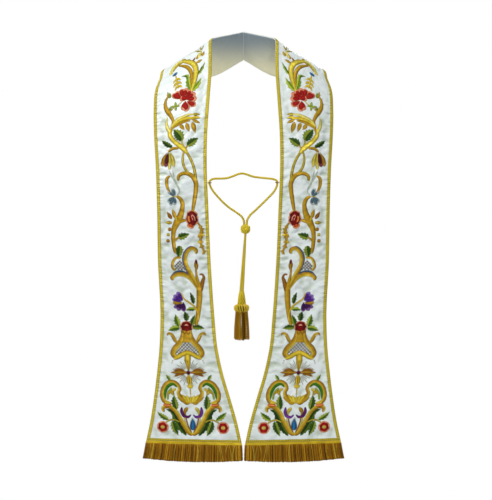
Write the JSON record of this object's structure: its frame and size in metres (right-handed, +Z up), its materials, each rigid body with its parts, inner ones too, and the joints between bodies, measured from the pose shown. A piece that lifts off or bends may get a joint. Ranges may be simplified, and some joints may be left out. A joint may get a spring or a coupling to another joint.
{
  "type": "clerical stole",
  "caption": "Worn clerical stole with spade-shaped ends: embroidered white satin strips with gold braid, fringed hems, a mitred nape seam and a tasselled cord with a slider ball",
  "frame": {"origin": "on the lining, halfway along the nape seam, where the stole rests on the wearer", "axes": "+Z up, the front faces -Y, +X is the viewer's right when seen from the front"},
  "size_m": [0.495, 0.2351, 1.0835],
  "materials": {
    "satin": "white satin with a cool sheen, embroidered in gold and coloured silks",
    "lining": "plain lining, slate grey at the nape and cream below",
    "braid": "ribbed gold braid",
    "fringe": "old-gold bullion fringe, twisted thread",
    "cord": "twisted gold cord"
  },
  "bodies": {
    "root": {"face_left": "satin", "face_right": "satin", "lining_left": "lining", "lining_right": "lining", "inner_braid_left": "braid", "inner_braid_right": "braid", "outer_braid_left": "braid", "outer_braid_right": "braid", "hem_braid_left": "braid", "hem_braid_right": "braid", "fringe_left": "fringe", "fringe_right": "fringe", "eye_left": "cord", "eye_right": "cord", "cord_bridge": "cord", "cord_high_left": "cord", "cord_high_right": "cord", "cord_low_left": "cord", "cord_low_right": "cord", "cord_ball": "cord", "tassel_cone": "cord", "tassel_skirt": "fringe"}
  },
  "joints": []
}
